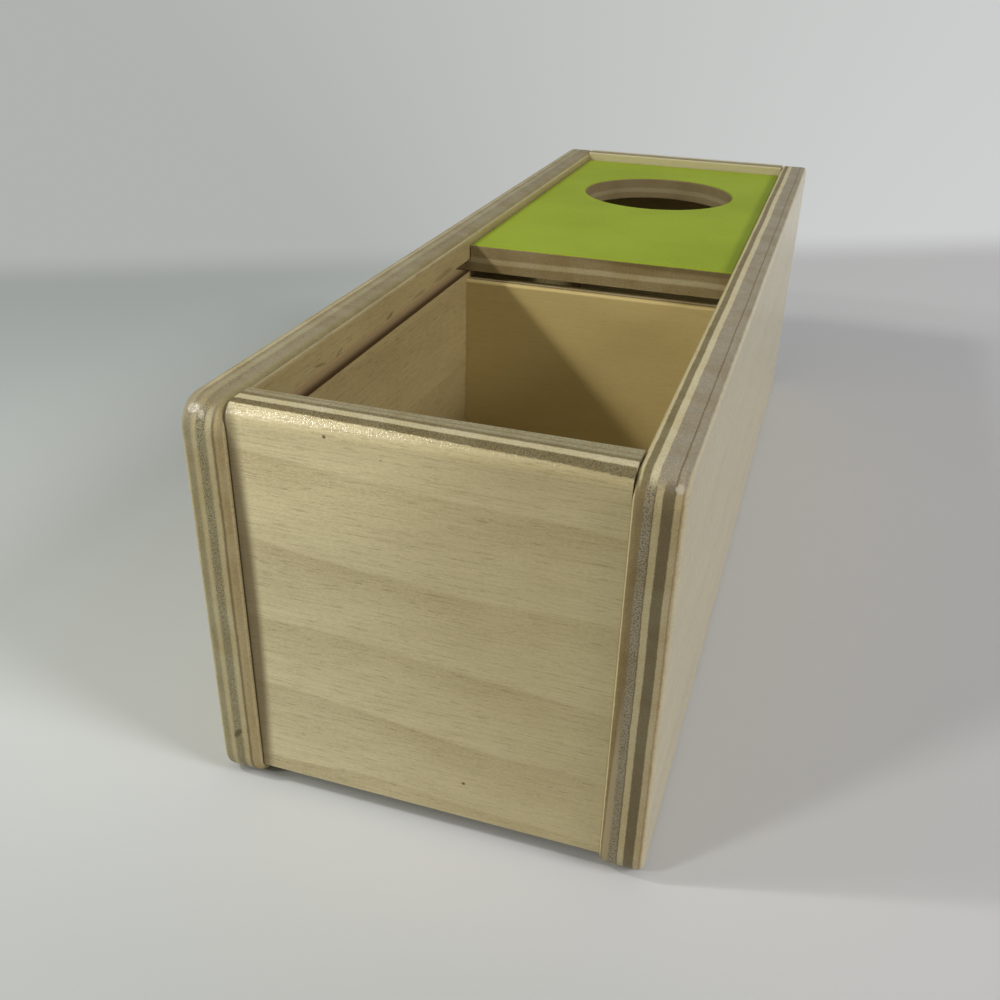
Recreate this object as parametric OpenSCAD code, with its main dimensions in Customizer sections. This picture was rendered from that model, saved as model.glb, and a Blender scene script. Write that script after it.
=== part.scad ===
// Object permanence box: a long open plywood box with a captive sliding lid that has a round ball hole.
// The frame stands on the floor at z = 0, +Y runs from the open front well to the covered rear well.
// All sizes are in millimetres.

/* [Box] */
// Length over the side boards, front to rear
box_length = 280; // [240:1:330]
// Width over the side boards
box_width = 92; // [80:1:120]
// Height of the side boards
box_height = 88; // [72:1:110]

/* [Boards] */
// Thickness of the side boards and the end boards
board_t = 9; // [8:0.5:12]
// Radius of the side boards' four corners
corner_r = 6; // [3:0.5:12]
// Radius of the eased edges all round the side boards
arris_r = 1.5; // [0.6:0.1:2]
// How far the end boards stand back from the ends of the sides
end_setback = 1.25; // [0.5:0.25:3]
// Gap between the end boards and the floor
end_lift = 4.2; // [1:0.1:5]
// Drop of the end boards' tops below the tops of the sides
end_drop = 0; // [0:0.1:1.5]
// Radius along the outer top edge of the end boards
end_round_r = 3.3; // [1.5:0.1:5]
// Radius along the inner top edge of the end boards
end_inner_r = 0.4; // [0.3:0.1:1.5]

/* [Lid] */
// Thickness of the lid
lid_t = 7.5; // [6:0.1:9]
// Depth of the lid's top below the tops of the sides
lid_drop = 2.7; // [1.5:0.1:5]
// How far the lid's front edge rests behind the divider's front face
lid_setback = 2.5; // [1:0.25:5]
// Thickness of the tongues along the lid's two long edges
tongue_t = 3.1; // [2:0.1:4]
// Depth of the lid grooves in the side boards
groove_depth = 4; // [2.5:0.25:5]
// Radius of the eased edges all round the lid's top
lid_edge_r = 0.6; // [0.3:0.1:1.2]
// Diameter of the ball hole
hole_d = 50; // [40:1:60]
// Distance from the lid's rear edge to the centre of the ball hole
hole_from_rear = 49; // [38:1:65]
// Radius of the eased rims of the ball hole
rim_r = 0.7; // [0.4:0.1:1.5]

/* [Divider] */
// Thickness of the divider between the two wells
divider_t = 6; // [4:0.5:9]
// Distance from the front of the sides to the divider's front face
divider_from_front = 128; // [110:1:140]
// Gap between the divider's top and the lid
divider_gap = 2.1; // [1:0.1:5]
// Radius of the eased edges along the divider's top
divider_edge_r = 0.7; // [0.3:0.1:1.2]
// Depth of the divider's housings in the side boards
housing_depth = 3; // [2:0.25:4.5]

/* [Bottom] */
// Thickness of the bottom board
bottom_t = 5; // [4:0.5:8]
// Height of the bottom board's underside above the floor
bottom_raise = 9; // [7:0.5:12]
// Depth of the bottom board's grooves in the sides and ends
bottom_groove = 4; // [2.5:0.25:5]

/* [Dowels] */
// Diameter of the dowels that hold the end boards
dowel_d = 5; // [4:0.5:6]
// Length of a dowel inside a side board
dowel_in_side = 6; // [4:0.5:7]
// Length of a dowel inside an end board
dowel_in_end = 16; // [10:1:24]
// Distance of the dowels from the bottom board and from the lid groove
dowel_margin = 14; // [10:0.5:20]

/* [Fits] */
// Running gap above and below the lid's tongues
tongue_gap = 0.2; // [0.1:0.05:0.5]
// Gap on each side of the lid's raised part
lid_side_gap = 0.3; // [0.2:0.05:0.6]
// Gap between a tongue's edge and the bottom of its groove
groove_end_gap = 0.6; // [0.3:0.1:1]
// Gap between the lid and the end board that stops it
lid_stop_gap = 0.5; // [0.3:0.1:1.5]
// Gap for glue around housed edges and dowels
glue_gap = 0.1; // [0.05:0.05:0.25]

/* [Hidden] */
$fn = 96;
// How far a cutter reaches past the face that it opens
cut = 1;

// Places across the box
inner_x = box_width / 2 - board_t;
lid_half_w = inner_x - lid_side_gap;
tongue_half_w = inner_x + groove_depth - groove_end_gap;

// Places along the box
front_outer_y = -box_length / 2 + end_setback;
front_inner_y = front_outer_y + board_t;
rear_inner_y = -front_inner_y;
divider_y = -box_length / 2 + divider_from_front;
lid_front_y = divider_y + lid_setback;
lid_rear_y = rear_inner_y - lid_stop_gap;
lid_length = lid_rear_y - lid_front_y;
hole_y = lid_rear_y - hole_from_rear;
bottom_half_l = rear_inner_y + bottom_groove - glue_gap;

// Heights
lid_top_z = box_height - lid_drop;
lid_under_z = lid_top_z - lid_t;
groove_low_z = lid_under_z - tongue_gap;
groove_high_z = lid_under_z + tongue_t + tongue_gap;
bottom_top_z = bottom_raise + bottom_t;
divider_top_z = lid_under_z - divider_gap;
end_h = box_height - end_drop - end_lift;
dowel_heights = [bottom_top_z + dowel_margin, groove_low_z - dowel_margin];
dowel_y = (front_outer_y + front_inner_y) / 2;

PLYWOOD = [0.76, 0.71, 0.57];
GREEN = [0.56, 0.62, 0.24];
BEECH = [0.80, 0.66, 0.47];

// Section across an exposed edge: depth from the inside, thickness t, both outer corners eased
module edge_section(depth, t, ease) {
    square([depth - ease, t]);
    translate([0, ease]) square([depth, t - 2 * ease]);
    for (y = [ease, t - ease]) translate([depth - ease, y]) circle(r = ease);
}

// Half of a board, from y = 0 up to its eased and round-cornered edge, centred on x = 0
module half_board(length, height, t, corner, ease) {
    translate([corner - length / 2, 0]) rotate([90, 0, 90])
        linear_extrude(length - 2 * corner) edge_section(height, t, ease);
    for (end = [0, 1])
        mirror([end, 0, 0]) translate([length / 2 - corner, height - corner]) {
            rotate([90, 0, 0]) linear_extrude(height - corner) edge_section(corner, t, ease);
            rotate_extrude(angle = 90) edge_section(corner, t, ease);
        }
}

// Flat board with eased edges all round, from y = 0 along +Y, centred on x = 0, thickness along +Z
module eased_board(length, height, t, corner, ease) {
    translate([0, height / 2])
        for (lower = [0, 1]) mirror([0, lower, 0]) half_board(length, height / 2, t, corner, ease);
}

// Section of a flat board centred on x = 0, up from y = 0, with its two top corners eased
module eased_top(width, t, ease) {
    translate([-width / 2, 0]) square([width, t - ease]);
    translate([ease - width / 2, 0]) square([width - 2 * ease, t]);
    for (side = [-1, 1]) translate([side * (width / 2 - ease), t - ease]) circle(r = ease);
}

// One dowel along +X through the joint face at x = inner_x, or its hole when grown by a gap
module dowel(gap = 0) {
    length = dowel_in_side + dowel_in_end + 2 * gap;
    translate([inner_x - dowel_in_end - gap, 0, 0]) rotate([0, 90, 0]) cylinder(d = dowel_d + 2 * gap, h = length);
}

// The four dowels of the front end board, or their holes when grown by a gap
module end_dowels(gap = 0) {
    for (side = [0, 1], z = dowel_heights)
        mirror([side, 0, 0]) translate([0, dowel_y, z]) dowel(gap);
}

// Slot that the bottom board sits in, cut into the sides and the ends
module bottom_slot() {
    half_w = inner_x + bottom_groove;
    half_l = rear_inner_y + bottom_groove;
    translate([-half_w, -half_l, bottom_raise]) cube([2 * half_w, 2 * half_l, bottom_t + glue_gap]);
}

// Right side board with its lid groove, bottom groove, divider housing and dowel holes
module side_board() {
    difference() {
        translate([inner_x, 0, 0]) rotate([90, 0, 90])
            eased_board(box_length, box_height, board_t, corner_r, arris_r);
        translate([inner_x - cut, front_inner_y - groove_depth, groove_low_z])
            cube([groove_depth + cut, 2 * (rear_inner_y + groove_depth), groove_high_z - groove_low_z]);
        translate([inner_x - cut, divider_y - glue_gap, bottom_top_z])
            cube([housing_depth + cut, divider_t + 2 * glue_gap, divider_top_z - bottom_top_z + glue_gap]);
        bottom_slot();
        end_dowels(glue_gap);
        mirror([0, 1, 0]) end_dowels(glue_gap);
    }
}

module left_side() {
    color(PLYWOOD) mirror([1, 0, 0]) side_board();
}

module right_side() {
    color(PLYWOOD) side_board();
}

// Section of the front end board: outer face at x = 0, inner face at x = board_t
module end_section() {
    square([board_t, end_h - end_round_r]);
    translate([end_round_r, 0]) square([board_t - end_round_r - end_inner_r, end_h]);
    translate([board_t - end_inner_r - cut, 0]) square([end_inner_r + cut, end_h - end_inner_r]);
    translate([end_round_r, end_h - end_round_r]) circle(r = end_round_r);
    translate([board_t - end_inner_r, end_h - end_inner_r]) circle(r = end_inner_r);
}

// Front end board with the bottom board's groove and the dowel holes
module end_board() {
    difference() {
        translate([-inner_x, front_outer_y, end_lift]) rotate([90, 0, 90])
            linear_extrude(2 * inner_x) end_section();
        bottom_slot();
        end_dowels(glue_gap);
    }
}

module front_panel() {
    color(PLYWOOD) end_board();
}

module rear_panel() {
    color(PLYWOOD) mirror([0, 1, 0]) end_board();
}

module divider() {
    half_w = inner_x + housing_depth - glue_gap;
    color(PLYWOOD) translate([-half_w, divider_y + divider_t / 2, bottom_top_z]) rotate([90, 0, 90])
        linear_extrude(2 * half_w) eased_top(divider_t, divider_top_z - bottom_top_z, divider_edge_r);
}

module bottom_panel() {
    half_w = inner_x + bottom_groove - glue_gap;
    color(PLYWOOD) translate([-half_w, -bottom_half_l, bottom_raise])
        cube([2 * half_w, 2 * bottom_half_l, bottom_t]);
}

// Lid without its hole: a raised part eased all round its top, and a thin tongue along each long edge
module lid_board() {
    intersection() {
        translate([0, lid_rear_y, lid_under_z]) rotate([90, 0, 0]) linear_extrude(lid_length) {
            eased_top(2 * lid_half_w, lid_t, lid_edge_r);
            translate([-tongue_half_w, 0]) square([2 * tongue_half_w, tongue_t]);
        }
        translate([-tongue_half_w - cut, lid_rear_y - lid_length / 2, lid_under_z]) rotate([90, 0, 90])
            linear_extrude(2 * (tongue_half_w + cut)) eased_top(lid_length, lid_t, lid_edge_r);
    }
}

// Ring of material that the rounded rim takes off, with its top at z = 0
module rim_cut() {
    rim_outer = hole_d / 2 + rim_r;
    rotate_extrude() difference() {
        translate([0, -rim_r]) square([rim_outer, rim_r + cut]);
        translate([rim_outer, -rim_r]) circle(r = rim_r);
    }
}

module sliding_lid() {
    color(GREEN) difference() {
        lid_board();
        translate([0, hole_y, lid_under_z - cut]) cylinder(d = hole_d, h = lid_t + 2 * cut);
        translate([0, hole_y, lid_top_z]) rim_cut();
        translate([0, hole_y, lid_under_z]) mirror([0, 0, 1]) rim_cut();
    }
}

module front_dowels() {
    color(BEECH) end_dowels();
}

module rear_dowels() {
    color(BEECH) mirror([0, 1, 0]) end_dowels();
}

left_side();
right_side();
front_panel();
rear_panel();
divider();
bottom_panel();
sliding_lid();
front_dowels();
rear_dowels();
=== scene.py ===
# Object permanence box: plywood finishes, green lid, floor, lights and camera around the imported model.
# The frame stands on the floor at z = 0, +Y runs from the open front well to the covered rear well.
# Sizes in the finishes are in millimetres, places of lights and camera are in metres.

import math

import bmesh
import bpy
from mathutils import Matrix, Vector


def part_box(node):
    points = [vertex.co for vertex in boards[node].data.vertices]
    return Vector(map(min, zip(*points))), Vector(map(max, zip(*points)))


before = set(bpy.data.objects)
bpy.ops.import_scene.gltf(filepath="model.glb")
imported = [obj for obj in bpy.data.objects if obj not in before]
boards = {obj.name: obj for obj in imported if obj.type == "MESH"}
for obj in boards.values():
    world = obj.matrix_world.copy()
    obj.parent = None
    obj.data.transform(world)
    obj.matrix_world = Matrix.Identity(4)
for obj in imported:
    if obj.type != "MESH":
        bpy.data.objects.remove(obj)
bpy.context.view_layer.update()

MM = 1000.0
X, Y, Z = 0, 1, 2
NO_TURN = (0.0, 0.0, 0.0)


def shade(red, green, blue):
    """A colour as a paint chart gives it, 0 to 255, turned into the linear values that a shader takes."""
    def linear(level):
        level /= 255.0
        return level / 12.92 if level <= 0.04045 else ((level + 0.055) / 1.055) ** 2.4
    return linear(red), linear(green), linear(blue), 1.0


# Nodes

SPOT_CORE = 0.5


class Nodes:
    """One node tree, put together node by node."""

    def __init__(self, tree):
        self.tree = tree
        self.tree.nodes.clear()

    def add(self, kind, sockets=None, **settings):
        node = self.tree.nodes.new(kind)
        for key, value in settings.items():
            setattr(node, key, value)
        for key, value in (sockets or {}).items():
            self.feed(node.inputs[key], value)
        return node

    def feed(self, socket, value):
        if isinstance(value, bpy.types.NodeSocket):
            self.tree.links.new(value, socket)
        else:
            socket.default_value = value

    def calc(self, operation, first, second=0.0, third=0.0):
        node = self.add("ShaderNodeMath", {0: first, 1: second, 2: third}, operation=operation)
        return node.outputs[0]

    def seen(self):
        """1 for rays that are looked along, also mirrored or through glass, and 0 for light on things."""
        rays = self.add("ShaderNodeLightPath").outputs
        mirrored = self.calc("MAXIMUM", rays["Is Glossy Ray"], rays["Is Transmission Ray"])
        return self.calc("MAXIMUM", rays["Is Camera Ray"], mirrored)


class Finish(Nodes):
    """One material."""

    def __init__(self, name):
        self.material = bpy.data.materials.new(name)
        self.material.use_nodes = True
        super().__init__(self.material.node_tree)

    def blend(self, factor, under, over, how="MIX"):
        node = self.add("ShaderNodeMix", {0: factor, 6: under, 7: over}, data_type="RGBA", blend_type=how)
        return node.outputs[2]

    def step(self, value, low, high, start=0.0, end=1.0):
        """A soft step from start to end as value goes from low to high."""
        sockets = {"Value": value, "From Min": low, "From Max": high, "To Min": start, "To Max": end}
        return self.add("ShaderNodeMapRange", sockets, interpolation_type="SMOOTHSTEP").outputs[0]

    def fall(self, value, low, high):
        """A soft step from 1 down to 0 as value goes from low to high."""
        return self.step(value, low, high, 1.0, 0.0)

    def between(self, share, low, high):
        """Low where share is 0, high where it is 1."""
        return self.calc("MULTIPLY_ADD", self.calc("SUBTRACT", high, low), share, low)

    def shaken(self, value, noise, reach):
        """A value that a noise moves up and down by up to half its reach."""
        return self.calc("MULTIPLY_ADD", self.calc("SUBTRACT", noise, 0.5), reach, value)

    def rest_of(self, share):
        return self.calc("SUBTRACT", 1.0, share)

    def point(self):
        """The place on the piece in millimetres: the vector and its three parts."""
        place = self.add("ShaderNodeTexCoord").outputs["Object"]
        scaled = self.grown(place, MM, MM, MM)
        parts = self.add("ShaderNodeSeparateXYZ", {0: scaled})
        return scaled, parts.outputs[0], parts.outputs[1], parts.outputs[2]

    def facing(self):
        """How far the surface faces along x, y and z, each from 0 to 1."""
        normal = self.add("ShaderNodeNewGeometry").outputs["Normal"]
        turned = self.add("ShaderNodeVectorMath", {0: normal}, operation="ABSOLUTE").outputs[0]
        parts = self.add("ShaderNodeSeparateXYZ", {0: turned})
        return parts.outputs[0], parts.outputs[1], parts.outputs[2]

    def vector(self, x, y, z):
        return self.add("ShaderNodeCombineXYZ", {0: x, 1: y, 2: z}).outputs[0]

    def grown(self, place, x, y, z):
        return self.add("ShaderNodeVectorMath", {0: place, 1: (x, y, z)}, operation="MULTIPLY").outputs[0]

    def noise(self, place, scale=1.0, detail=2.0, rough=0.5):
        sockets = {"Vector": place, "Scale": scale, "Detail": detail, "Roughness": rough}
        return self.add("ShaderNodeTexNoise", sockets).outputs[0]

    def ramp(self, factor, stops):
        """Colours along a factor: stops are (place, colour), the fourth value goes to the alpha output."""
        node = self.add("ShaderNodeValToRGB", {0: factor})
        elements = node.color_ramp.elements
        while len(elements) < len(stops):
            elements.new(1.0)
        for element, (place, colour) in zip(elements, stops):
            element.position = place
            element.color = colour
        return node.outputs[0], node.outputs[1]

    def spot(self, place, centre, spread, turn=NO_TURN):
        """1 in the core of a small mark, falling to 0 at its rim: spread gives its half sizes."""
        sockets = {"Vector": place, "Location": centre, "Rotation": turn, "Scale": spread}
        local = self.add("ShaderNodeMapping", sockets, vector_type="TEXTURE").outputs[0]
        length = self.add("ShaderNodeVectorMath", {0: local}, operation="LENGTH").outputs[1]
        return self.fall(length, SPOT_CORE, 1.0)

    def coating(self, colour, roughness, height, bump, **constants):
        """Principled shader with bump from a height in millimetres."""
        raised = self.add("ShaderNodeBump", {"Height": height, "Strength": bump, "Distance": 1.0 / MM})
        sockets = {"Base Color": colour, "Roughness": roughness, "Normal": raised.outputs[0],
                   "Coat Normal": raised.outputs[0]}
        sockets.update(constants)
        return self.add("ShaderNodeBsdfPrincipled", sockets).outputs[0]

    def done(self, shader):
        self.add("ShaderNodeOutputMaterial", {0: shader})
        return self.material


# Face veneer

FACE_PALE = shade(221, 208, 160)
FACE_TAN = shade(186, 169, 121)
FACE_DASH = shade(146, 126, 82)
FACE_GLOSS = shade(230, 218, 177)
# Painted shade: the tone that a face is painted towards at one end
FACE_PAINTED_SHADE = shade(152, 130, 70)
# Painted sheen: how much paler a face is painted where a sheen falls
FACE_PAINTED_SHEEN = (1.17, 1.17, 1.2, 1.0)
FACE_EVEN = shade(196, 185, 152)
# Painted shade: a deep warm tone that stands for the warm shade of the well on the divider
DIVIDER_SHADE_TONE = shade(211, 186, 116)
# Painted shade: the tone that the inner faces of the well are painted darker with
INNER_PAINTED_SHADE = shade(208, 201, 184)

# How often each pattern changes per millimetre, along the grain, across it and through the board
RING_DRIFT = (0.012, 0.03, 0.05)
RING_PATCHES = (0.025, 0.07, 0.05)
CLOUDS = (0.05, 0.16, 0.1)
STREAKS = (0.05, 2.6, 1.0)
DASHES = (0.2, 2.3, 1.0)
FIBRES = (0.7, 5.5, 3.0)
FLECKS = (1.3, 3.4, 2.0)

# How strongly each pattern shows, and its relief in millimetres
RING_SWAY = 14.0
RING_EDGE = 0.94
RING_LEAST = 0.4
CLOUD_SHARE = 0.3
STREAK_SHARE = 0.28
DASH_SHARE = 0.42
DASH_ON_BAND = 0.34
DASH_RELIEF = -0.03
FIBRE_SHARE = 0.2
FIBRE_RELIEF = -0.03
FLECK_SHARE = 0.32
FLECK_RELIEF = 0.05


def veneer(finish, along, across, depth, ring=17.5, ring_start=0.0, ring_share=0.6, slope=0.0, seed=0.0):
    """Face veneer with grain along the board: annual bands, short dark dashes, fibres and a fine fleck."""
    place = finish.vector(along, across, finish.calc("ADD", depth, seed))
    drift = finish.noise(finish.grown(place, *RING_DRIFT), detail=1.0)
    sloping = finish.calc("MULTIPLY_ADD", along, slope, across)
    leaning = finish.calc("MULTIPLY_ADD", drift, RING_SWAY, sloping)
    ringed = finish.calc("FRACT", finish.calc("DIVIDE", finish.calc("SUBTRACT", leaning, ring_start), ring))
    late = finish.calc("POWER", ringed, 2.0)
    late = finish.calc("MULTIPLY", late, finish.fall(ringed, RING_EDGE, 1.0))
    patch = finish.step(finish.noise(finish.grown(place, *RING_PATCHES), detail=3.0), 0.34, 0.64)
    band = finish.calc("MULTIPLY", late, finish.calc("MULTIPLY_ADD", patch, 1.0 - RING_LEAST, RING_LEAST))
    colour = finish.blend(finish.calc("MULTIPLY", band, ring_share), FACE_PALE, FACE_TAN)

    cloud = finish.step(finish.noise(finish.grown(place, *CLOUDS), detail=3.0), 0.3, 0.7)
    colour = finish.blend(finish.calc("MULTIPLY", cloud, CLOUD_SHARE), colour, FACE_TAN)
    streaks = finish.noise(finish.grown(place, *STREAKS), detail=3.0, rough=0.65)
    streak = finish.calc("MULTIPLY", finish.step(streaks, 0.4, 0.72), STREAK_SHARE)
    colour = finish.blend(streak, colour, FACE_DASH)
    dash = finish.step(finish.noise(finish.grown(place, *DASHES), detail=3.0, rough=0.6), 0.54, 0.68)
    dash_share = finish.calc("MULTIPLY_ADD", band, DASH_ON_BAND, DASH_SHARE)
    colour = finish.blend(finish.calc("MULTIPLY", dash, dash_share), colour, FACE_DASH)
    fibre = finish.noise(finish.grown(place, *FIBRES), detail=2.0, rough=0.7)
    colour = finish.blend(finish.step(fibre, 0.42, 0.66, 0.0, FIBRE_SHARE), colour, FACE_DASH)
    fleck = finish.noise(finish.grown(place, *FLECKS), detail=2.0, rough=0.7)
    colour = finish.blend(finish.step(fleck, 0.4, 0.68, 0.0, FLECK_SHARE), colour, FACE_GLOSS)

    height = finish.calc("MULTIPLY_ADD", fleck, FLECK_RELIEF, finish.calc("MULTIPLY", fibre, FIBRE_RELIEF))
    return colour, finish.calc("MULTIPLY_ADD", dash, DASH_RELIEF, height)


# Plies and cut edges

PLY_FACE = shade(206, 194, 156)
PLY_PALE = shade(207, 197, 165)
PLY_LIGHT = shade(186, 175, 142)
PLY_TAN = shade(172, 156, 120)
PLY_SAND = shade(182, 169, 137)
PLY_BROWN = shade(134, 119, 85)
PLY_OLIVE = shade(157, 150, 122)
PLY_GREY = shade(154, 145, 126)
PLY_DRIFT = shade(158, 150, 134)
PLY_DARK = shade(116, 106, 82)
PLY_UMBER = shade(142, 133, 109)
PLY_DUSK = shade(127, 117, 85)
PLY_MOSS = shade(143, 135, 100)
PLY_GLUE = shade(112, 97, 66)
RED_LINE = shade(150, 116, 92)
PORE = shade(48, 40, 30)

# How often each pattern changes per millimetre, how strongly it shows and its relief in millimetres
MOTTLE_SCALE, MOTTLE_SHARE, MOTTLE_RELIEF = 1.9, 0.55, 0.06
GRIT_SCALE, GRIT_SHARE = 3.6, 0.3
LONG_MOTTLE_SCALE, LONG_MOTTLE_SHARE = 0.14, 0.4
PIT_SCALE, PIT_SHARE, PIT_RELIEF = 3.3, 0.62, -0.12


def ply_stops(plies, soft=0.012):
    """Ramp stops for (thickness, colour, pores) plies: the share of pores is the fourth value."""
    total = sum(thick for thick, colour, pores in plies)
    stops, at = [], 0.0
    for thick, colour, pores in plies:
        start, end = at / total, (at + thick) / total
        cut = colour[:3] + (pores,)
        stops += [(start + soft * (start > 0), cut), (end - soft * (end < 1), cut)]
        at += thick
    return stops


def edge_grain(finish, place, colour, share):
    """Cut edges of plies: fine mottling everywhere, open pores on the plies that show end grain."""
    mottle = finish.noise(place, scale=MOTTLE_SCALE, detail=3.0, rough=0.7)
    mottled = finish.step(mottle, 0.3, 0.7, 0.0, MOTTLE_SHARE)
    colour = finish.blend(mottled, colour, FACE_GLOSS, "SOFT_LIGHT")
    grit = finish.noise(place, scale=GRIT_SCALE, detail=2.0, rough=0.7)
    colour = finish.blend(finish.step(grit, 0.45, 0.68, 0.0, GRIT_SHARE), colour, PLY_DARK)
    long_mottle = finish.noise(place, scale=LONG_MOTTLE_SCALE, detail=3.0)
    long_share = finish.step(long_mottle, 0.35, 0.68, 0.0, LONG_MOTTLE_SHARE)
    colour = finish.blend(long_share, colour, PLY_BROWN, "SOFT_LIGHT")
    pits = finish.noise(place, scale=PIT_SCALE, detail=2.0, rough=0.65)
    open_pore = finish.calc("MULTIPLY", finish.step(pits, 0.49, 0.6), share)
    colour = finish.blend(finish.calc("MULTIPLY", open_pore, PIT_SHARE), colour, PORE)
    sunk = finish.calc("MULTIPLY", open_pore, PIT_RELIEF)
    return colour, finish.calc("MULTIPLY_ADD", mottle, MOTTLE_RELIEF, sunk)


# Plywood boards

LACQUER = {"Specular IOR Level": 0.2, "Coat Weight": 0.75, "Coat Roughness": 0.22}
THICK_LACQUER = {"Specular IOR Level": 0.2, "Coat Weight": 1.0, "Coat Roughness": 0.17}
BARE_WOOD = {"Specular IOR Level": 0.3, "Coat Weight": 0.0}
CUT_EDGE_COAT = 0.12
WOOD_BUMP = 0.5

SPECK = shade(70, 52, 34)
SCUFF = shade(104, 82, 54)
# Painted light: the groove's pale tone is paler than the wood, to offset the groove's shade
GROOVE_PALE = shade(190, 168, 122)
GROOVE_DARK = shade(84, 62, 34)
JOINT_LINE = shade(52, 40, 24)
# Brown for a painted shadow on the front board, and for a stain on the lid's front edge
SHADOW_AND_STAIN_BROWN = shade(96, 77, 42)
# Painted glint: the paler tint on drops of lacquer
DROP_PAINTED_GLINT = shade(236, 227, 206)

# How far the glue lines and the rim of the outer skin wander, in millimetres
WAVE_SCALE, WAVE_REACH = 0.035, 0.55
FRAY_SCALE, FRAY_REACH, SKIN_FRAY = 0.8, 0.35, 0.5
OUTER_RIM, INNER_RIM = 0.15, 0.1
# The lid's groove: soft rims of its tint and where its lip darkens, in millimetres
GROOVE_RIM_NEAR, GROOVE_RIM_FAR, GROOVE_END_RIM = 0.02, 0.1, 0.3
LIP_START, LIP_FULL = 3.2, 0.5
# Painted shade towards one end of a board, wear, relief in millimetres and gloss
PAINTED_SHADE_SHARE = 0.36
MARK_RELIEF = -0.1
SAND_SCALE, SHEEN_SCALE, WRINKLE_SCALE = 2.5, 0.5, 1.1
# How strongly a drop is tinted paler as a painted glint, and its relief in millimetres
DROP_GLINT_SHARE, DROP_RELIEF = 0.3, 0.6
SATIN_LOW, SATIN_HIGH = 0.36, 0.5
INNER_DULL, EDGE_DULL = 0.15, 0.2


def groove_tint(finish, colour, depth, height_up, along, end_on, thickness, groove):
    """The lid's groove in a side board: bare wood, painted paler deep inside as painted light against the
    groove's shade, and darker towards its lip.
    """
    low, high, reach = groove
    above = finish.step(height_up, low - GROOVE_RIM_FAR, low - GROOVE_RIM_NEAR)
    below = finish.fall(height_up, high + GROOVE_RIM_NEAR, high + GROOVE_RIM_FAR)
    sunk = finish.calc("MULTIPLY", finish.step(depth, thickness * 0.45, thickness * 0.5),
                       finish.fall(end_on, 0.3, 0.6))
    sunk = finish.calc("MULTIPLY", sunk, finish.calc("MULTIPLY", above, below))
    far_along = finish.calc("ABSOLUTE", along)
    sunk = finish.calc("MULTIPLY", sunk, finish.fall(far_along, reach - GROOVE_END_RIM, reach))
    lip = finish.step(depth, thickness - LIP_START, thickness - LIP_FULL)
    return finish.blend(sunk, colour, finish.blend(lip, GROOVE_PALE, GROOVE_DARK))


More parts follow.
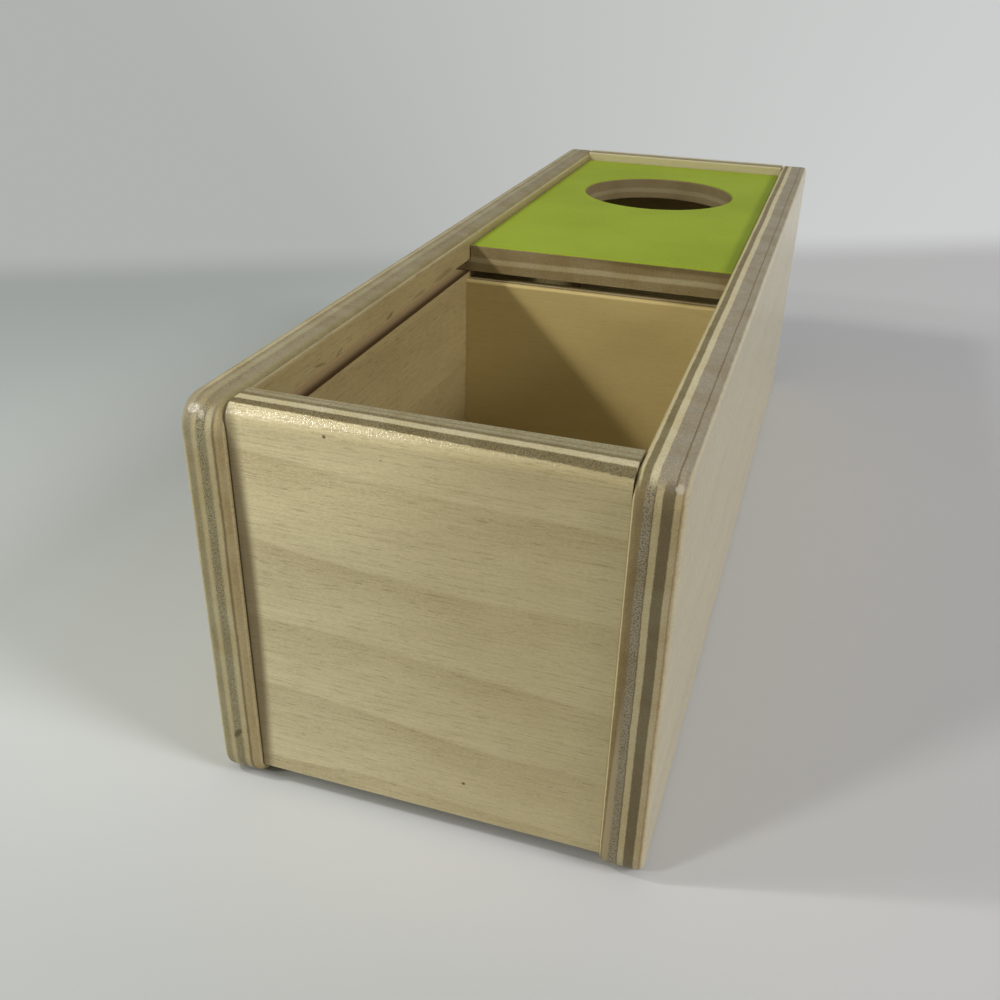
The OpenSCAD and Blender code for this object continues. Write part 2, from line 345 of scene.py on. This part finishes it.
def plywood(name, depth_axis, outer, sign, thickness, end_plies, top_plies, grain_axis,
            skins=(0.6, 0.6), lean=0.0, soft=0.012, inner_from=0.5, groove=None, shade_span=None,
            even=(0.0, FACE_EVEN), painted_sheen=None, sanding=0.05, marks_and_painted_light=(), drops=(), rings=None,
            coat=LACQUER):
    """Plywood board as a solid: plies through it, veneer as thick as its skins, pores on cut edges."""
    finish = Finish(name)
    place, *axes = finish.point()
    faces = finish.facing()
    across_axis = X + Y + Z - depth_axis - grain_axis
    along, across = axes[grain_axis], axes[across_axis]
    depth = finish.calc("MULTIPLY", finish.calc("SUBTRACT", axes[depth_axis], outer), sign)

    # Plies on the cut edges
    wave = finish.noise(finish.vector(along, across, 0.0), scale=WAVE_SCALE, detail=2.0)
    fray = finish.noise(place, scale=FRAY_SCALE, detail=3.0, rough=0.65)
    tilted = finish.calc("MULTIPLY_ADD", along, lean, depth)
    swayed = finish.shaken(finish.shaken(tilted, wave, WAVE_REACH), fray, FRAY_REACH)
    level = finish.calc("DIVIDE", swayed, thickness)
    on_end, end_pores = finish.ramp(level, ply_stops(end_plies, soft))
    on_top, top_pores = finish.ramp(level, ply_stops(top_plies, soft))
    both_ways = finish.calc("ADD", faces[across_axis], faces[grain_axis])
    turned = finish.calc("DIVIDE", faces[across_axis], finish.calc("ADD", both_ways, 0.001))
    rise = finish.step(turned, 0.35, 0.65)
    plies = finish.blend(rise, on_end, on_top)
    pores = finish.between(rise, end_pores, top_pores)
    cut_colour, cut_height = edge_grain(finish, place, plies, pores)

    # Veneer on the faces
    face_colour, face_height = veneer(finish, along, across, depth, **(rings or {}))
    face_colour = finish.blend(even[0], face_colour, even[1])
    # Painted shade: the inner faces of the well are painted darker.
    inside = finish.step(depth, thickness * inner_from, thickness * (inner_from + 0.1))
    inside = finish.calc("MULTIPLY", inside, finish.step(faces[depth_axis], 0.75, 0.97))
    face_colour = finish.blend(inside, face_colour, INNER_PAINTED_SHADE, "MULTIPLY")
    # Painted shade: the face is painted darker along the span, towards its far end.
    if shade_span:
        shade_along = finish.step(along, shade_span[0], shade_span[1], 0.0, PAINTED_SHADE_SHARE)
        face_colour = finish.blend(shade_along, face_colour, FACE_PAINTED_SHADE)
    # Painted sheen: a spot of the face is painted paler.
    if painted_sheen:
        face_colour = finish.blend(finish.spot(place, *painted_sheen), face_colour, FACE_PAINTED_SHEEN, "MULTIPLY")
    ragged = finish.shaken(tilted, fray, SKIN_FRAY)
    outer_skin = finish.fall(ragged, skins[0] - OUTER_RIM, skins[0] + OUTER_RIM)
    inner_from_face = thickness - skins[1]
    inner_skin = finish.step(depth, inner_from_face - INNER_RIM, inner_from_face + INNER_RIM)
    skin = finish.calc("MAXIMUM", outer_skin, inner_skin)
    colour = finish.blend(skin, cut_colour, face_colour)
    height = finish.between(skin, cut_height, face_height)
    if groove:
        colour = groove_tint(finish, colour, depth, across, along, faces[grain_axis], thickness, groove)

    # Marks and painted light and shade, sanding and drops of lacquer
    film = skin
    for centre, spread, turn, tint, strength in marks_and_painted_light:
        mark_and_painted_light = finish.calc("MULTIPLY", finish.spot(place, centre, spread, turn), strength)
        colour = finish.blend(mark_and_painted_light, colour, tint)
        height = finish.calc("MULTIPLY_ADD", mark_and_painted_light, MARK_RELIEF, height)
        film = finish.calc("MULTIPLY", film, finish.rest_of(mark_and_painted_light))
    grit = finish.noise(place, scale=SAND_SCALE, detail=1.0)
    sanded = finish.calc("MULTIPLY", finish.fall(faces[depth_axis], 0.6, 0.95), sanding)
    height = finish.calc("MULTIPLY_ADD", grit, sanded, height)
    wrinkle = finish.noise(place, scale=WRINKLE_SCALE, detail=2.0)
    for centre, spread in drops:
        bead = finish.spot(place, centre, spread)
        film = finish.calc("MAXIMUM", film, bead)
        # The drop's paler tint is a painted glint.
        colour = finish.blend(finish.calc("MULTIPLY", bead, DROP_GLINT_SHARE), colour, DROP_PAINTED_GLINT)
        height = finish.calc("MULTIPLY_ADD", finish.calc("MULTIPLY", bead, DROP_RELIEF), wrinkle, height)

    # Gloss
    sheen = finish.noise(place, scale=SHEEN_SCALE, detail=3.0)
    satin = finish.step(sheen, 0.3, 0.7, SATIN_LOW, SATIN_HIGH)
    roughness = finish.calc("MULTIPLY_ADD", inside, INNER_DULL, satin)
    roughness = finish.calc("MULTIPLY_ADD", finish.rest_of(film), EDGE_DULL, roughness)
    shine = dict(coat)
    if coat["Coat Weight"] > CUT_EDGE_COAT:
        thicker = coat["Coat Weight"] - CUT_EDGE_COAT
        shine["Coat Weight"] = finish.calc("MULTIPLY_ADD", film, thicker, CUT_EDGE_COAT)
    return finish.done(finish.coating(colour, roughness, height, WOOD_BUMP, **shine))


side_thick = (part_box("right_side")[1].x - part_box("right_side")[0].x) * MM
side_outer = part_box("right_side")[1].x * MM
end_thick = (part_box("front_panel")[1].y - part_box("front_panel")[0].y) * MM
front_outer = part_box("front_panel")[0].y * MM
panel_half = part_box("front_panel")[1].x * MM
rear_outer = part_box("rear_panel")[1].y * MM
divider_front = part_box("divider")[0].y * MM
divider_thick = (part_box("divider")[1].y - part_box("divider")[0].y) * MM
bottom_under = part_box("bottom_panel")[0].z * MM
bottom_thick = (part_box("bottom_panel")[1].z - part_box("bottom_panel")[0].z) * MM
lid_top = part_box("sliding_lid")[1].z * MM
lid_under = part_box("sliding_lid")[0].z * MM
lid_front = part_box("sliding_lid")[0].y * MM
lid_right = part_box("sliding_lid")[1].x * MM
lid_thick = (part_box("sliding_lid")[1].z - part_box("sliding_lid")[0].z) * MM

# Plies from outside to inside: thickness, colour and share of open pores
# The left side's upright edges and its level edges
LEFT_END = [(1.0, PLY_LIGHT, 0.0), (1.5, PLY_OLIVE, 0.4), (1.1, PLY_LIGHT, 0.1),
            (1.9, PLY_OLIVE, 1.0), (1.25, PLY_LIGHT, 0.1), (0.5, PLY_GLUE, 0.3),
            (1.75, PLY_TAN, 0.05)]
LEFT_TOP = [(1.6, PLY_OLIVE, 0.1), (0.6, PLY_LIGHT, 0.1), (0.9, PLY_UMBER, 0.4),
            (1.4, PLY_OLIVE, 0.1), (1.2, PLY_UMBER, 0.5), (1.7, PLY_UMBER, 0.2),
            (1.6, PLY_MOSS, 0.2)]
# The right side's upright edges and its level edges
RIGHT_END = [(0.8, PLY_SAND, 0.0), (0.15, RED_LINE, 0.0), (1.1, PLY_SAND, 0.1),
             (1.95, PLY_DARK, 0.3), (1.2, PLY_LIGHT, 0.1), (0.2, PLY_GLUE, 0.3),
             (1.5, PLY_GREY, 1.0), (1.7, PLY_BROWN, 0.2), (0.4, PLY_FACE, 0.0)]
RIGHT_TOP = [(0.6, PLY_SAND, 0.0), (1.5, PLY_DRIFT, 0.3), (0.25, PLY_GLUE, 0.2),
             (2.95, PLY_DRIFT, 0.35), (1.3, PLY_PALE, 0.1), (1.3, PLY_DUSK, 0.4),
             (1.1, PLY_FACE, 0.0)]
# The end boards and the thin boards
END_PLIES = [(1.35, PLY_FACE, 0.0), (1.75, PLY_DUSK, 0.8), (1.85, PLY_PALE, 0.1), (1.1, PLY_DUSK, 0.5),
             (1.15, PLY_OLIVE, 0.3), (0.3, PLY_BROWN, 0.3), (1.5, PLY_OLIVE, 0.5)]
THIN_PLIES = [(0.9, PLY_FACE, 0.0), (1.5, PLY_BROWN, 0.3), (1.2, PLY_LIGHT, 0.0),
              (1.5, PLY_BROWN, 0.3), (0.9, PLY_FACE, 0.0)]

# Marks and painted light and shade: centre, half sizes, turn, tint and strength
# The first left mark is painted shade: it darkens the left board's front top corner, where the light falls
# brightest.
left_marks_and_painted_shade = [((-side_outer, -140.0, 87.0), (4.0, 11.0, 9.0), NO_TURN, PLY_UMBER, 0.6),
              ((-41.6, -140.0, 12.4), (0.8, 4.0, 2.0), (0.0, 0.6, 0.0), SPECK, 0.65),
              ((-37.0, -66.0, 81.6), (1.0, 3.2, 0.7), (0.25, 0.0, 0.0), SCUFF, 0.6),
              ((-37.0, -102.0, 82.2), (1.0, 3.6, 0.5), (-0.2, 0.0, 0.0), SCUFF, 0.5),
              ((-37.0, -93.0, 81.9), (1.0, 2.4, 0.6), (0.3, 0.0, 0.0), SCUFF, 0.4),
              ((-37.0, -30.0, 82.0), (1.0, 9.0, 0.9), (0.02, 0.0, 0.0), SCUFF, 0.45),
              ((-37.0, -47.0, 81.7), (1.0, 5.0, 0.6), NO_TURN, SCUFF, 0.3)]
# Painted highlight: a paler strip on the lower part of the right board's inner front edge, where its
# rounded arris catches the light.
right_painted_highlight = [((38.5, -140.0, 12.0), (0.85, 4.0, 36.0), (0.0, 0.012, 0.0), PLY_TAN, 0.85)]
# The first front mark is a painted shadow: the strip that the left board's jutting front edge shades on the
# front board.
front_marks_and_painted_shadow = [((-panel_half, front_outer, 44.0), (4.0, 2.4, 66.0), NO_TURN, SHADOW_AND_STAIN_BROWN, 0.8),
               ((-panel_half, front_outer, 44.0), (0.45, 4.0, 80.0), NO_TURN, JOINT_LINE, 0.75),
               ((-17.4, front_outer, 85.0), (0.45, 1.5, 0.4), NO_TURN, SPECK, 0.8),
               ((8.7, front_outer, 13.2), (0.5, 1.5, 0.45), NO_TURN, SPECK, 0.8),
               ((-6.8, front_outer, 82.3), (0.3, 1.5, 0.3), NO_TURN, SPECK, 0.35)]
# Drops of lacquer that ran over a corner, each tinted paler as a painted glint: centre and half sizes
left_drops = [((-43.3, -138.2, 86.2), (1.7, 2.0, 1.1)),
              ((-41.6, -138.6, 85.4), (0.9, 1.4, 1.1))]
right_drops = [((44.4, -138.2, 86.0), (0.9, 1.2, 1.2))]
# Painted sheen: the upper left of the front board is painted paler where the lamps' sheen falls: centre and
# half sizes
front_painted_sheen = ((-34.0, front_outer, 90.0), (56.0, 30.0, 36.0))
# The lid's groove: its lower and upper edge, and how far it runs from the middle
lid_groove = (lid_under - 0.2, lid_under + 3.3, -front_outer - end_thick + 4.0)

finishes = {
    "left_side": plywood(
        "left_side_plywood", X, -side_outer, 1.0, side_thick, LEFT_END, LEFT_TOP, Y,
        skins=(0.35, 0.25), soft=0.03, groove=lid_groove, sanding=0.12,
        marks_and_painted_light=left_marks_and_painted_shade, drops=left_drops, rings={"seed": 11.0, "ring": 21.0}),
    "right_side": plywood(
        "right_side_plywood", X, side_outer, -1.0, side_thick, RIGHT_END, RIGHT_TOP, Y,
        skins=(0.5, 0.4), groove=lid_groove, even=(0.5, FACE_EVEN), sanding=0.12,
        marks_and_painted_light=right_painted_highlight, drops=right_drops, rings={"seed": 37.0, "ring": 24.0}),
    "front_panel": plywood(
        "front_panel_plywood", Y, front_outer, 1.0, end_thick, END_PLIES, END_PLIES, X,
        # Painted shade: the front board's face darkens towards its right end.
        skins=(1.35, 0.3), lean=0.022, soft=0.02, shade_span=(-panel_half, panel_half), sanding=0.55,
        painted_sheen=front_painted_sheen, marks_and_painted_light=front_marks_and_painted_shadow, coat=THICK_LACQUER,
        rings={"ring": 17.6, "ring_start": 49.0, "ring_share": 1.0, "slope": 0.06}),
    "rear_panel": plywood(
        "rear_panel_plywood", Y, rear_outer, -1.0, end_thick, END_PLIES, END_PLIES, X,
        # The rear board's face is blended paler: painted light, standing for the light that the green lid
        # throws onto it.
        skins=(1.35, 0.3), soft=0.02, inner_from=1.5, even=(0.5, FACE_GLOSS),
        rings={"seed": 63.0, "ring": 19.0}),
    "divider": plywood(
        "divider_plywood", Y, divider_front, 1.0, divider_thick, THIN_PLIES, THIN_PLIES, X,
        # The divider's face is blended towards a deep warm tone: painted shade of the well on bare wood.
        skins=(1.4, 0.5), inner_from=1.5, even=(0.7, DIVIDER_SHADE_TONE),
        rings={"seed": 85.0, "ring": 26.0, "ring_share": 0.4}, coat=BARE_WOOD),
    "bottom_panel": plywood(
        "bottom_panel_plywood", Z, bottom_under, 1.0, bottom_thick, THIN_PLIES, THIN_PLIES, Y,
        skins=(0.5, 0.5), inner_from=-0.5,
        rings={"seed": 105.0, "ring": 23.0, "ring_share": 0.4}, coat=BARE_WOOD),
}

# Green lid

GREEN = shade(155, 173, 50)
GREEN_DEEP = shade(146, 163, 43)
GREEN_GRAIN = shade(141, 159, 36)
LID_BROWN = shade(155, 141, 107)
LID_PLIES = [(3.5, LID_BROWN, 0.25), (1.5, PLY_LIGHT, 0.1), (2.5, LID_BROWN, 0.35)]
LID_SEED = 127.0
LID_WAVE_SCALE, LID_WAVE_REACH, LID_PLY_SOFT = 0.05, 0.8, 0.03
# The paint's gloss, how far it runs down over the edges, and its grain per millimetre
PAINT = {"Specular IOR Level": 0.1}
PAINT_DEPTH, PAINT_FRAY, PAINT_RIM = 0.32, 0.35, 0.03
PAINT_GRAIN = (0.12, 1.8, 1.0)
PAINT_RELIEF = 0.02
# The brown that darkens the wood around the hole, and the stain on the front edge at the right
HOLE_AT, HOLE_REACH, HOLE_DARK_SHARE = 80.25, 54.0, 0.5
STAIN_UNDER, STAIN_SPREAD, STAIN_SHARE = 0.4, (58.0, 2.0, 1.9), 0.5


def green_lid():
    """Painted plywood lid: satin green on top, bare plies on its edges and in the hole."""
    finish = Finish("green_lid_paint")
    place, x, y, z = finish.point()
    depth = finish.calc("SUBTRACT", lid_top, z)

    # Bare wood
    wave = finish.noise(finish.grown(place, 1.0, 1.0, 0.0), scale=LID_WAVE_SCALE, detail=2.0)
    level = finish.calc("DIVIDE", finish.shaken(depth, wave, LID_WAVE_REACH), lid_thick)
    plies, pores = finish.ramp(level, ply_stops(LID_PLIES, LID_PLY_SOFT))
    bare, bare_height = edge_grain(finish, place, plies, pores)
    under, under_height = veneer(finish, x, y, z, seed=LID_SEED)
    flat = finish.step(finish.facing()[Z], 0.86, 0.97)
    bare = finish.blend(flat, bare, under)
    bare_height = finish.between(flat, bare_height, under_height)
    hole_darkening = finish.spot(place, (0.0, HOLE_AT, lid_top), (HOLE_REACH, HOLE_REACH, HOLE_REACH))
    bare = finish.blend(finish.calc("MULTIPLY", hole_darkening, HOLE_DARK_SHARE), bare, PLY_BROWN)
    stain = finish.spot(place, (lid_right, lid_front, lid_top - STAIN_UNDER), STAIN_SPREAD)
    bare = finish.blend(finish.calc("MULTIPLY", stain, STAIN_SHARE), bare, SHADOW_AND_STAIN_BROWN)

    # Paint
    grain = finish.noise(finish.grown(place, *PAINT_GRAIN), detail=3.0, rough=0.6)
    cloud = finish.noise(place, scale=0.03, detail=3.0)
    paint = finish.blend(finish.step(cloud, 0.35, 0.7), GREEN, GREEN_DEEP)
    paint = finish.blend(finish.step(grain, 0.5, 0.75, 0.0, 0.25), paint, GREEN_GRAIN)
    rim = finish.shaken(PAINT_DEPTH, finish.noise(place, scale=0.9, detail=3.0, rough=0.7), PAINT_FRAY)
    painted = finish.step(finish.calc("SUBTRACT", rim, depth), -PAINT_RIM, PAINT_RIM)
    colour = finish.blend(painted, bare, paint)
    orange_peel = finish.noise(place, scale=1.4, detail=2.0)
    grain_height = finish.calc("MULTIPLY", grain, PAINT_RELIEF)
    paint_height = finish.calc("MULTIPLY_ADD", orange_peel, PAINT_RELIEF, grain_height)
    height = finish.between(painted, bare_height, paint_height)
    roughness = finish.step(orange_peel, 0.3, 0.7, 0.55, 0.65)
    return finish.done(finish.coating(colour, roughness, height, WOOD_BUMP, **PAINT))


finishes["sliding_lid"] = green_lid()

# Beech dowels

BEECH = shade(205, 170, 125)
BEECH_RAY = shade(168, 126, 84)
BEECH_GRAIN = (0.15, 1.6, 1.6)
BEECH_RAYS = (0.5, 3.5, 3.5)
BEECH_RELIEF = 0.06


def beech():
    """Turned beech with grain along the dowel and short dark rays."""
    finish = Finish("beech_dowel")
    place = finish.point()[0]
    grain = finish.noise(finish.grown(place, *BEECH_GRAIN), detail=3.0, rough=0.6)
    rays = finish.noise(finish.grown(place, *BEECH_RAYS), detail=2.0)
    colour = finish.blend(finish.step(grain, 0.35, 0.7), BEECH, BEECH_RAY)
    colour = finish.blend(finish.step(rays, 0.6, 0.7, 0.0, 0.7), colour, PLY_BROWN)
    height = finish.calc("MULTIPLY", grain, BEECH_RELIEF)
    roughness = finish.step(grain, 0.3, 0.7, 0.5, 0.65)
    return finish.done(finish.coating(colour, roughness, height, WOOD_BUMP))


finishes["front_dowels"] = finishes["rear_dowels"] = beech()

for node_name, material in finishes.items():
    boards[node_name].material_slots[0].material = material

# Floor

FLOOR_HALF = 6.0
# Paper tones: the left one, a paler right one that is painted light, and a deeper one for random tone and
# painted shade
FLOOR_PAPER = shade(194, 199, 195)
FLOOR_PALE = shade(217, 216, 216)
FLOOR_DEEP = shade(161, 167, 162)
FLOOR_MATT = {"Specular IOR Level": 0.2}
FLOOR_ROUGHNESS = 0.9
FLOOR_BUMP = 0.3
TOOTH_SCALE, TOOTH_RELIEF = 1.2, 0.02
# Where the floor's painted light and shade change, in millimetres: painted paler from left to right,
# painted shade at the rear left and towards the front
FLOOR_RAMP_LEFT, FLOOR_RAMP_RIGHT = -260.0, 200.0
SHADE_FRONT, SHADE_REAR, SHADE_SIDE, SHADE_SHARE = -120.0, 150.0, -60.0, 0.45
NEAR_FULL, NEAR_START, NEAR_SHARE = -200.0, -135.0, 0.32
# Where the backdrop starts behind the box, how it runs off to the side, and its tones: a painted glow,
# darker at the left and brighter at the right
BACKDROP_START = 300.0
BACKDROP_FULL = 385.0
BACKDROP_SLANT = -0.55
BACKDROP_SPAN = (-0.9, 0.35)
BACKDROP_LEFT = shade(176, 178, 175)
BACKDROP_RIGHT = shade(206, 208, 207)


def paper_floor():
    """Matt pale paper with a faint tooth and painted light and shade, running out into a glowing backdrop
    behind the box that is painted darker at the left and brighter at the right.
    """
    finish = Finish("floor_paper")
    place, x, y = finish.point()[:3]
    tone = finish.noise(place, scale=0.004, detail=2.0)
    # Painted light: the paper is painted paler towards the right.
    paper_with_painted_light = finish.blend(finish.step(x, FLOOR_RAMP_LEFT, FLOOR_RAMP_RIGHT), FLOOR_PAPER, FLOOR_PALE)
    colour = finish.blend(finish.step(tone, 0.3, 0.7, 0.0, 0.02), paper_with_painted_light, FLOOR_DEEP)
    # Painted shade: the paper is painted darker at the rear left and towards the front.
    shaded = finish.calc("MULTIPLY", finish.step(y, SHADE_FRONT, SHADE_REAR),
                         finish.step(x, FLOOR_RAMP_LEFT, SHADE_SIDE, SHADE_SHARE, 0.0))
    near = finish.step(y, NEAR_FULL, NEAR_START, NEAR_SHARE, 0.0)
    colour = finish.blend(finish.calc("MAXIMUM", shaded, near), colour, FLOOR_DEEP)
    tooth = finish.calc("MULTIPLY", finish.noise(place, scale=TOOTH_SCALE, detail=3.0), TOOTH_RELIEF)
    paper = finish.coating(colour, FLOOR_ROUGHNESS, tooth, FLOOR_BUMP, **FLOOR_MATT)

    far = finish.step(finish.calc("MULTIPLY_ADD", x, BACKDROP_SLANT, y), BACKDROP_START, BACKDROP_FULL)
    across = finish.calc("DIVIDE", x, finish.calc("ADD", finish.calc("ABSOLUTE", y), 1.0))
    # Painted light: the backdrop glows, darker at the left and brighter at the right.
    wall_tone = finish.blend(finish.step(across, *BACKDROP_SPAN), BACKDROP_LEFT, BACKDROP_RIGHT)
    glow = finish.add("ShaderNodeEmission", {"Color": wall_tone, "Strength": 1.0}).outputs[0]
    shown = finish.calc("MULTIPLY", far, finish.seen())
    return finish.done(finish.add("ShaderNodeMixShader", {0: shown, 1: paper, 2: glow}).outputs[0])


sheet = bmesh.new()
bmesh.ops.create_grid(sheet, x_segments=1, y_segments=1, size=FLOOR_HALF)
floor_mesh = bpy.data.meshes.new("floor")
sheet.to_mesh(floor_mesh)
sheet.free()
floor = bpy.data.objects.new("floor", floor_mesh)
floor.data.materials.append(paper_floor())
bpy.context.scene.collection.objects.link(floor)

# Light

WARM = (1.0, 0.985, 0.945)
COOL = (0.98, 0.955, 1.0)
# The two lamps near the box: power in watts, width, place and the point that they are turned to
KEY_WATTS, KEY_WIDTH = 0.42, 0.025
KEY_PLACE = Vector((-0.267, -0.223, 0.316))
KEY_AIM = Vector((0.02, -0.10, 0.04))
LOW_WATTS, LOW_WIDTH = 0.07, 0.03
LOW_PLACE = Vector((-0.187, -0.226, 0.135))
LOW_AIM = Vector((0.02, -0.139, 0.05))
# The two far lamps: strength, then width, azimuth and elevation in degrees
FAR_LIGHT, FAR_WIDTH, FAR_AZIMUTH, FAR_ELEVATION = 0.7, 8.0, -44.0, 33.0
SIDE_LIGHT, SIDE_WIDTH, SIDE_AZIMUTH, SIDE_ELEVATION = 1.48, 18.0, 82.0, 34.0
# The room: its light from the horizon to the zenith, and the pale wall that is seen
HORIZON_LIGHT = 0.08
ZENITH_LIGHT = 0.36
ROOM_LIGHT = (0.97, 1.0, 0.985, 1.0)
ROOM_WALL = shade(194, 196, 194)


def softbox(name, watts, width, place, aim, colour):
    """A small round softbox near the box, turned towards a point on it."""
    lamp = bpy.data.lights.new(name, "AREA")
    lamp.shape = "DISK"
    lamp.size = width
    lamp.energy = watts
    lamp.color = colour
    holder = bpy.data.objects.new(name, lamp)
    holder.location = place
    holder.rotation_mode = "QUATERNION"
    holder.rotation_quaternion = (aim - place).to_track_quat("-Z", "Y")
    bpy.context.scene.collection.objects.link(holder)


def sun(name, strength, width, azimuth, elevation, colour):
    """A far soft lamp: azimuth is measured from the front towards the right."""
    lamp = bpy.data.lights.new(name, "SUN")
    lamp.energy = strength
    lamp.angle = math.radians(width)
    lamp.color = colour
    turn, rise = math.radians(azimuth), math.radians(elevation)
    level = math.cos(rise)
    towards = Vector((math.sin(turn) * level, -math.cos(turn) * level, math.sin(rise)))
    holder = bpy.data.objects.new(name, lamp)
    holder.rotation_mode = "QUATERNION"
    holder.rotation_quaternion = (-towards).to_track_quat("-Z", "Y")
    bpy.context.scene.collection.objects.link(holder)


softbox("key_lamp", KEY_WATTS, KEY_WIDTH, KEY_PLACE, KEY_AIM, WARM)
softbox("low_lamp", LOW_WATTS, LOW_WIDTH, LOW_PLACE, LOW_AIM, WARM)
sun("far_lamp", FAR_LIGHT, FAR_WIDTH, FAR_AZIMUTH, FAR_ELEVATION, WARM)
sun("side_lamp", SIDE_LIGHT, SIDE_WIDTH, SIDE_AZIMUTH, SIDE_ELEVATION, COOL)

world = bpy.data.worlds.new("room")
world.use_nodes = True
room = Nodes(world.node_tree)
way = room.add("ShaderNodeTexCoord").outputs["Generated"]
upward = room.add("ShaderNodeSeparateXYZ", {0: way}).outputs[2]
light_range = {"Value": upward, "To Min": HORIZON_LIGHT, "To Max": ZENITH_LIGHT}
strength = room.add("ShaderNodeMapRange", light_range)
room_light = room.add("ShaderNodeBackground", {"Color": ROOM_LIGHT, "Strength": strength.outputs[0]})
room_wall = room.add("ShaderNodeBackground", {"Color": ROOM_WALL})
both = room.add("ShaderNodeMixShader", {0: room.seen(), 1: room_light.outputs[0], 2: room_wall.outputs[0]})
room.add("ShaderNodeOutputWorld", {0: both.outputs[0]})
bpy.context.scene.world = world
bpy.context.scene.view_settings.view_transform = "Standard"

# Camera

IMAGE_WIDTH = 1000.0
FOCAL_PIXELS = 1033.93
SENSOR = 36.0
CAMERA_PLACE = (0.06092, -0.28384, 0.16158)
CAMERA_TURN = (1.07259, -0.02210, 0.31935)
NEAREST = 0.01

camera_data = bpy.data.cameras.new("camera")
camera_data.sensor_width = SENSOR
camera_data.lens = FOCAL_PIXELS / IMAGE_WIDTH * SENSOR
camera_data.clip_start = NEAREST
camera = bpy.data.objects.new("camera", camera_data)
camera.location = CAMERA_PLACE
camera.rotation_euler = CAMERA_TURN
bpy.context.scene.collection.objects.link(camera)
bpy.context.scene.camera = camera
